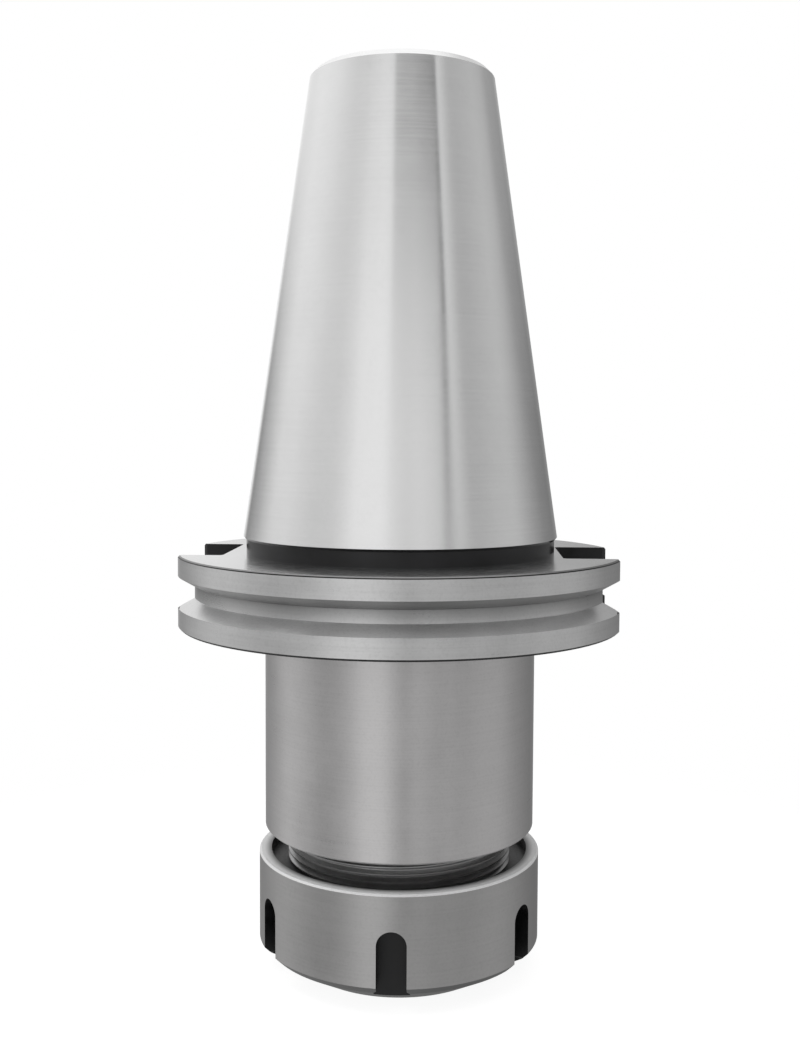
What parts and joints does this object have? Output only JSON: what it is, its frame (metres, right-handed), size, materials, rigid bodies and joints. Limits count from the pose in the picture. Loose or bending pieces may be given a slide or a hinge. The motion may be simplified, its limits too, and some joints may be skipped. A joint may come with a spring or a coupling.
{
  "type": "collet chuck holder",
  "caption": "Steep taper tool holder with a grooved tool changer flange, a slotted collet, its clamping nut and a stop screw.",
  "frame": {"origin": "on the axis at the gauge line, where the shank's cone is 69.85 mm in diameter", "axes": "+Z along the axis towards the shank's small end; the two drive slots face +X and -X; the part stands on the clamping nut's front face"},
  "size_m": [0.0946, 0.0984, 0.1969],
  "materials": {
    "holder_steel": "ground cone, satin flange and body, blackened neck and slots",
    "nut_steel": "satin turned",
    "collet_steel": "fine ground",
    "screw_steel": "black oxide"
  },
  "bodies": {
    "holder": {"holder_body": "holder_steel"},
    "collet": {"collet": "collet_steel"},
    "nut": {"clamping_nut": "nut_steel"},
    "stop": {"stop_screw": "screw_steel"}
  },
  "joints": [
    {"name": "collet_draw", "type": "slide", "parent": "holder", "child": "collet", "axis": [0, 0, -1], "range_m": [0, 0.00875]},
    {"name": "nut_turn", "type": "hinge", "parent": "collet", "child": "nut", "pos_m": [0, 0, -0.06985], "axis": [0, 0, -1], "range_deg": [0, 2100]},
    {"name": "stop_screw_travel", "type": "slide", "parent": "holder", "child": "stop", "axis": [0, 0, -1], "range_m": [-0.0108, 0.009]}
  ],
  "couplings": [
    {"joint": "collet_draw", "follows": "nut_turn", "m_per_rad": 0.00023873}
  ]
}
